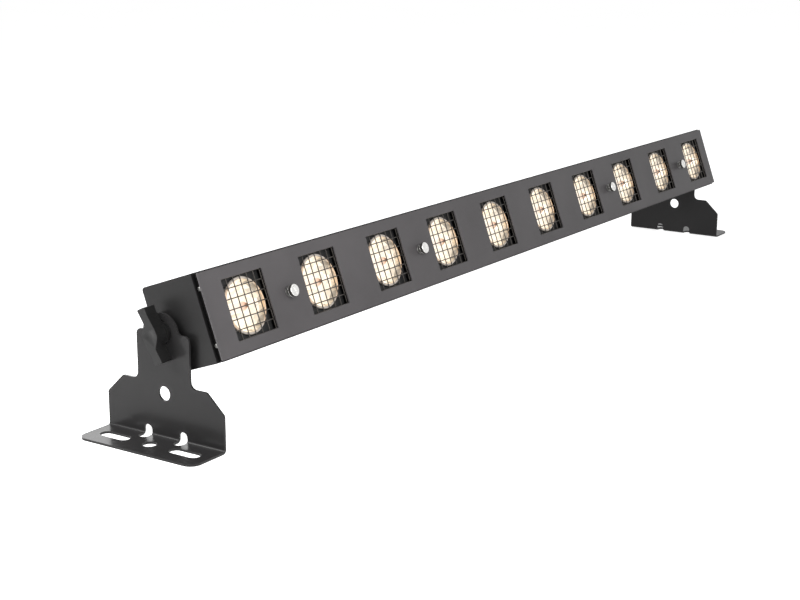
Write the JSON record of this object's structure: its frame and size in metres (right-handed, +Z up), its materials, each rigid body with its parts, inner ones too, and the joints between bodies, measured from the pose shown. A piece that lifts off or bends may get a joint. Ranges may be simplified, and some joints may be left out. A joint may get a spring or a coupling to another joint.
{
  "type": "strip light",
  "caption": "Tilting stage strip light: a row of reflector lamps behind a wire guard in a long housing, hung between two slotted foot brackets with tilt knobs.",
  "frame": {"origin": "centre of the overall box on the plane that the two feet stand on", "axes": "+X along the row of lamps, -Y the side that the light leaves, +Z up"},
  "size_m": [1.1356, 0.1284, 0.1478],
  "materials": {
    "panel_grey": "matt powder coat, mid grey",
    "case_grey": "matt powder coat, dark grey",
    "carrier_grey": "matt dark grey paint",
    "bracket_grey": "semi-matt powder coat, dark grey",
    "guard_black": "blackened steel wire",
    "knob_black": "moulded plastic, black with a greyed face",
    "plastic_black": "moulded plastic, black",
    "button_grey": "moulded plastic, grey",
    "rubber_black": "black rubber",
    "nickel": "bright nickel plating",
    "lamp_glass": "faceted reflector glass, lit warm white",
    "ceramic": "unglazed ceramic",
    "board_green": "printed circuit board"
  },
  "bodies": {
    "housing": {"front_panel": "panel_grey", "guard_left": "guard_black", "guard_right": "guard_black", "housing_channel": "case_grey", "end_cap_left": "case_grey", "end_cap_right": "case_grey", "lamp_carrier": "carrier_grey", "lamp_01": "lamp_glass", "lamp_02": "lamp_glass", "lamp_03": "lamp_glass", "lamp_04": "lamp_glass", "lamp_05": "lamp_glass", "lamp_06": "lamp_glass", "lamp_07": "lamp_glass", "lamp_08": "lamp_glass", "lamp_09": "lamp_glass", "lamp_10": "lamp_glass", "lampholder_01": "ceramic", "lampholder_02": "ceramic", "lampholder_03": "ceramic", "lampholder_04": "ceramic", "lampholder_05": "ceramic", "lampholder_06": "ceramic", "lampholder_07": "ceramic", "lampholder_08": "ceramic", "lampholder_09": "ceramic", "lampholder_10": "ceramic", "end_screw_left_upper": "nickel", "end_screw_left_lower": "nickel", "end_screw_right_upper": "nickel", "end_screw_right_lower": "nickel", "friction_washer_left": "rubber_black", "friction_washer_right": "rubber_black", "weld_nut_left": "nickel", "weld_nut_right": "nickel", "mains_inlet": "plastic_black", "mains_outlet": "plastic_black", "data_inlet": "plastic_black", "data_outlet": "plastic_black", "fuse_holder": "plastic_black", "control_panel": "plastic_black", "dimmer_board": "board_green", "supply_board": "board_green", "wiring_harness": "rubber_black"},
    "bracket_left": {"bracket_left": "bracket_grey"},
    "tilt_knob_left": {"tilt_knob_left": "knob_black"},
    "bracket_right": {"bracket_right": "bracket_grey"},
    "tilt_knob_right": {"tilt_knob_right": "knob_black"},
    "thumbscrew_1": {"thumbscrew_1": "nickel"},
    "thumbscrew_2": {"thumbscrew_2": "nickel"},
    "thumbscrew_3": {"thumbscrew_3": "nickel"},
    "thumbscrew_4": {"thumbscrew_4": "nickel"},
    "menu_button_1": {"menu_button_1": "button_grey"},
    "menu_button_2": {"menu_button_2": "button_grey"},
    "menu_button_3": {"menu_button_3": "button_grey"},
    "menu_button_4": {"menu_button_4": "button_grey"},
    "fuse_cap": {"fuse_cap": "plastic_black"}
  },
  "joints": [
    {"name": "bracket_left_tilt", "type": "hinge", "parent": "housing", "child": "bracket_left", "pos_m": [-0.5268, 0, 0.0935], "axis": [1, 0, 0], "continuous": true},
    {"name": "tilt_knob_left_turn", "type": "hinge", "parent": "housing", "child": "tilt_knob_left", "pos_m": [-0.5368, 0, 0.0935], "axis": [-1, 0, 0], "range_deg": [0, 720]},
    {"name": "bracket_right_tilt", "type": "hinge", "parent": "housing", "child": "bracket_right", "pos_m": [0.5268, 0, 0.0935], "axis": [1, 0, 0], "continuous": true},
    {"name": "tilt_knob_right_turn", "type": "hinge", "parent": "housing", "child": "tilt_knob_right", "pos_m": [0.5368, 0, 0.0935], "axis": [1, 0, 0], "range_deg": [0, 720]},
    {"name": "thumbscrew_1_turn", "type": "hinge", "parent": "housing", "child": "thumbscrew_1", "pos_m": [-0.4168, -0.04659, 0.11229], "axis": [0, -0.9409, 0.3387], "range_deg": [0, 1080]},
    {"name": "thumbscrew_2_turn", "type": "hinge", "parent": "housing", "child": "thumbscrew_2", "pos_m": [-0.2068, -0.04659, 0.11229], "axis": [0, -0.9409, 0.3387], "range_deg": [0, 1080]},
    {"name": "thumbscrew_3_turn", "type": "hinge", "parent": "housing", "child": "thumbscrew_3", "pos_m": [0.2132, -0.04659, 0.11229], "axis": [0, -0.9409, 0.3387], "range_deg": [0, 1080]},
    {"name": "thumbscrew_4_turn", "type": "hinge", "parent": "housing", "child": "thumbscrew_4", "pos_m": [0.4232, -0.04659, 0.11229], "axis": [0, -0.9409, 0.3387], "range_deg": [0, 1080]},
    {"name": "menu_button_1_press", "type": "slide", "parent": "housing", "child": "menu_button_1", "axis": [0, -0.9409, 0.3387], "range_m": [0, 0.001], "stiffness_N_per_m": 400, "springref_m": -0.0015},
    {"name": "menu_button_2_press", "type": "slide", "parent": "housing", "child": "menu_button_2", "axis": [0, -0.9409, 0.3387], "range_m": [0, 0.001], "stiffness_N_per_m": 400, "springref_m": -0.0015},
    {"name": "menu_button_3_press", "type": "slide", "parent": "housing", "child": "menu_button_3", "axis": [0, -0.9409, 0.3387], "range_m": [0, 0.001], "stiffness_N_per_m": 400, "springref_m": -0.0015},
    {"name": "menu_button_4_press", "type": "slide", "parent": "housing", "child": "menu_button_4", "axis": [0, -0.9409, 0.3387], "range_m": [0, 0.001], "stiffness_N_per_m": 400, "springref_m": -0.0015},
    {"name": "fuse_cap_turn", "type": "hinge", "parent": "housing", "child": "fuse_cap", "pos_m": [-0.3118, 0.01626, 0.08966], "axis": [0, 0.9409, -0.3387], "range_deg": [0, 90]}
  ]
}
